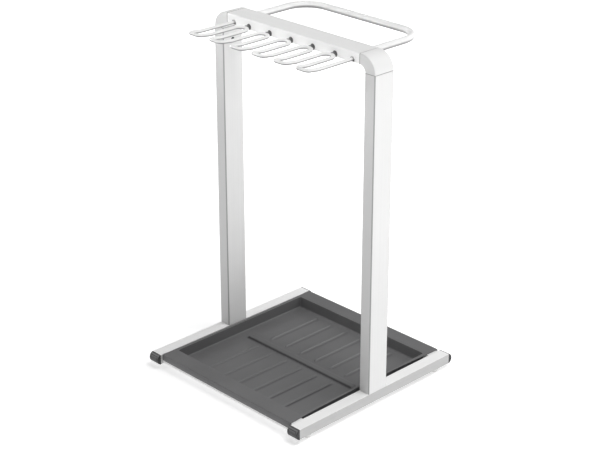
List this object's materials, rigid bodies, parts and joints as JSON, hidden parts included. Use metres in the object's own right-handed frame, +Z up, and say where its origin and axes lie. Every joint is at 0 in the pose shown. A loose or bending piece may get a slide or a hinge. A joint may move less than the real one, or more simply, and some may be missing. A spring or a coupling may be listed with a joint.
{
  "type": "umbrella stand",
  "caption": "Free-standing umbrella stand: two posts and a top beam on floor rails, wire comb in front, tube hoop behind, lift-out drip tray, screw glides.",
  "frame": {"origin": "centre of the bounding box, on the floor under the four glides", "axes": "+X along the top beam to the right, -Y towards the wire comb (front), +Z up"},
  "size_m": [0.5, 0.51, 0.8295],
  "materials": {
    "white_powder_coat": "satin powder coat",
    "grey_plastic": "fine moulded grain",
    "white_plastic": "smooth moulded",
    "zinc_plated_steel": "zinc plated",
    "blackened_steel": "black oxide"
  },
  "bodies": {
    "frame": {"access_plugs": "white_plastic", "beam_screws": "blackened_steel", "comb": "white_powder_coat", "corner_left": "white_powder_coat", "corner_right": "white_powder_coat", "crossbar_front": "white_powder_coat", "crossbar_rear": "white_powder_coat", "crossbar_welds": "white_powder_coat", "end_cap_front_left": "grey_plastic", "end_cap_front_right": "grey_plastic", "end_cap_rear_left": "grey_plastic", "end_cap_rear_right": "grey_plastic", "glide_nuts": "zinc_plated_steel", "hoop_plugs": "zinc_plated_steel", "hoop_screws": "blackened_steel", "post_bolts": "zinc_plated_steel", "post_left": "white_powder_coat", "post_right": "white_powder_coat", "post_screws": "blackened_steel", "rail_left": "white_powder_coat", "rail_right": "white_powder_coat", "rear_hoop": "white_powder_coat", "top_beam": "white_powder_coat"},
    "tray": {"drip_tray": "grey_plastic"},
    "washer_front_right": {"washer_front_right": "white_plastic"},
    "glide_front_right": {"glide_front_right": "white_plastic", "stud_front_right": "zinc_plated_steel"},
    "washer_front_left": {"washer_front_left": "white_plastic"},
    "glide_front_left": {"glide_front_left": "white_plastic", "stud_front_left": "zinc_plated_steel"},
    "washer_rear_right": {"washer_rear_right": "white_plastic"},
    "glide_rear_right": {"glide_rear_right": "white_plastic", "stud_rear_right": "zinc_plated_steel"},
    "washer_rear_left": {"washer_rear_left": "white_plastic"},
    "glide_rear_left": {"glide_rear_left": "white_plastic", "stud_rear_left": "zinc_plated_steel"}
  },
  "joints": [
    {"name": "tray_lift", "type": "slide", "parent": "frame", "child": "tray", "axis": [0, 0, 1], "range_m": [0, 0.15]},
    {"name": "glide_travel_front_right", "type": "slide", "parent": "frame", "child": "washer_front_right", "axis": [0, 0, -1], "range_m": [0, 0.008]},
    {"name": "glide_turn_front_right", "type": "hinge", "parent": "washer_front_right", "child": "glide_front_right", "pos_m": [0.235, -0.21, 0], "axis": [0, 0, -1], "range_deg": [0, 2305]},
    {"name": "glide_travel_front_left", "type": "slide", "parent": "frame", "child": "washer_front_left", "axis": [0, 0, -1], "range_m": [0, 0.008]},
    {"name": "glide_turn_front_left", "type": "hinge", "parent": "washer_front_left", "child": "glide_front_left", "pos_m": [-0.235, -0.21, 0], "axis": [0, 0, -1], "range_deg": [0, 2305]},
    {"name": "glide_travel_rear_right", "type": "slide", "parent": "frame", "child": "washer_rear_right", "axis": [0, 0, -1], "range_m": [0, 0.008]},
    {"name": "glide_turn_rear_right", "type": "hinge", "parent": "washer_rear_right", "child": "glide_rear_right", "pos_m": [0.235, 0.21, 0], "axis": [0, 0, -1], "range_deg": [0, 2305]},
    {"name": "glide_travel_rear_left", "type": "slide", "parent": "frame", "child": "washer_rear_left", "axis": [0, 0, -1], "range_m": [0, 0.008]},
    {"name": "glide_turn_rear_left", "type": "hinge", "parent": "washer_rear_left", "child": "glide_rear_left", "pos_m": [-0.235, 0.21, 0], "axis": [0, 0, -1], "range_deg": [0, 2305]}
  ],
  "couplings": [
    {"joint": "glide_turn_front_right", "follows": "glide_travel_front_right", "rad_per_m": 5026.5},
    {"joint": "glide_turn_front_left", "follows": "glide_travel_front_left", "rad_per_m": 5026.5},
    {"joint": "glide_turn_rear_right", "follows": "glide_travel_rear_right", "rad_per_m": 5026.5},
    {"joint": "glide_turn_rear_left", "follows": "glide_travel_rear_left", "rad_per_m": 5026.5}
  ]
}
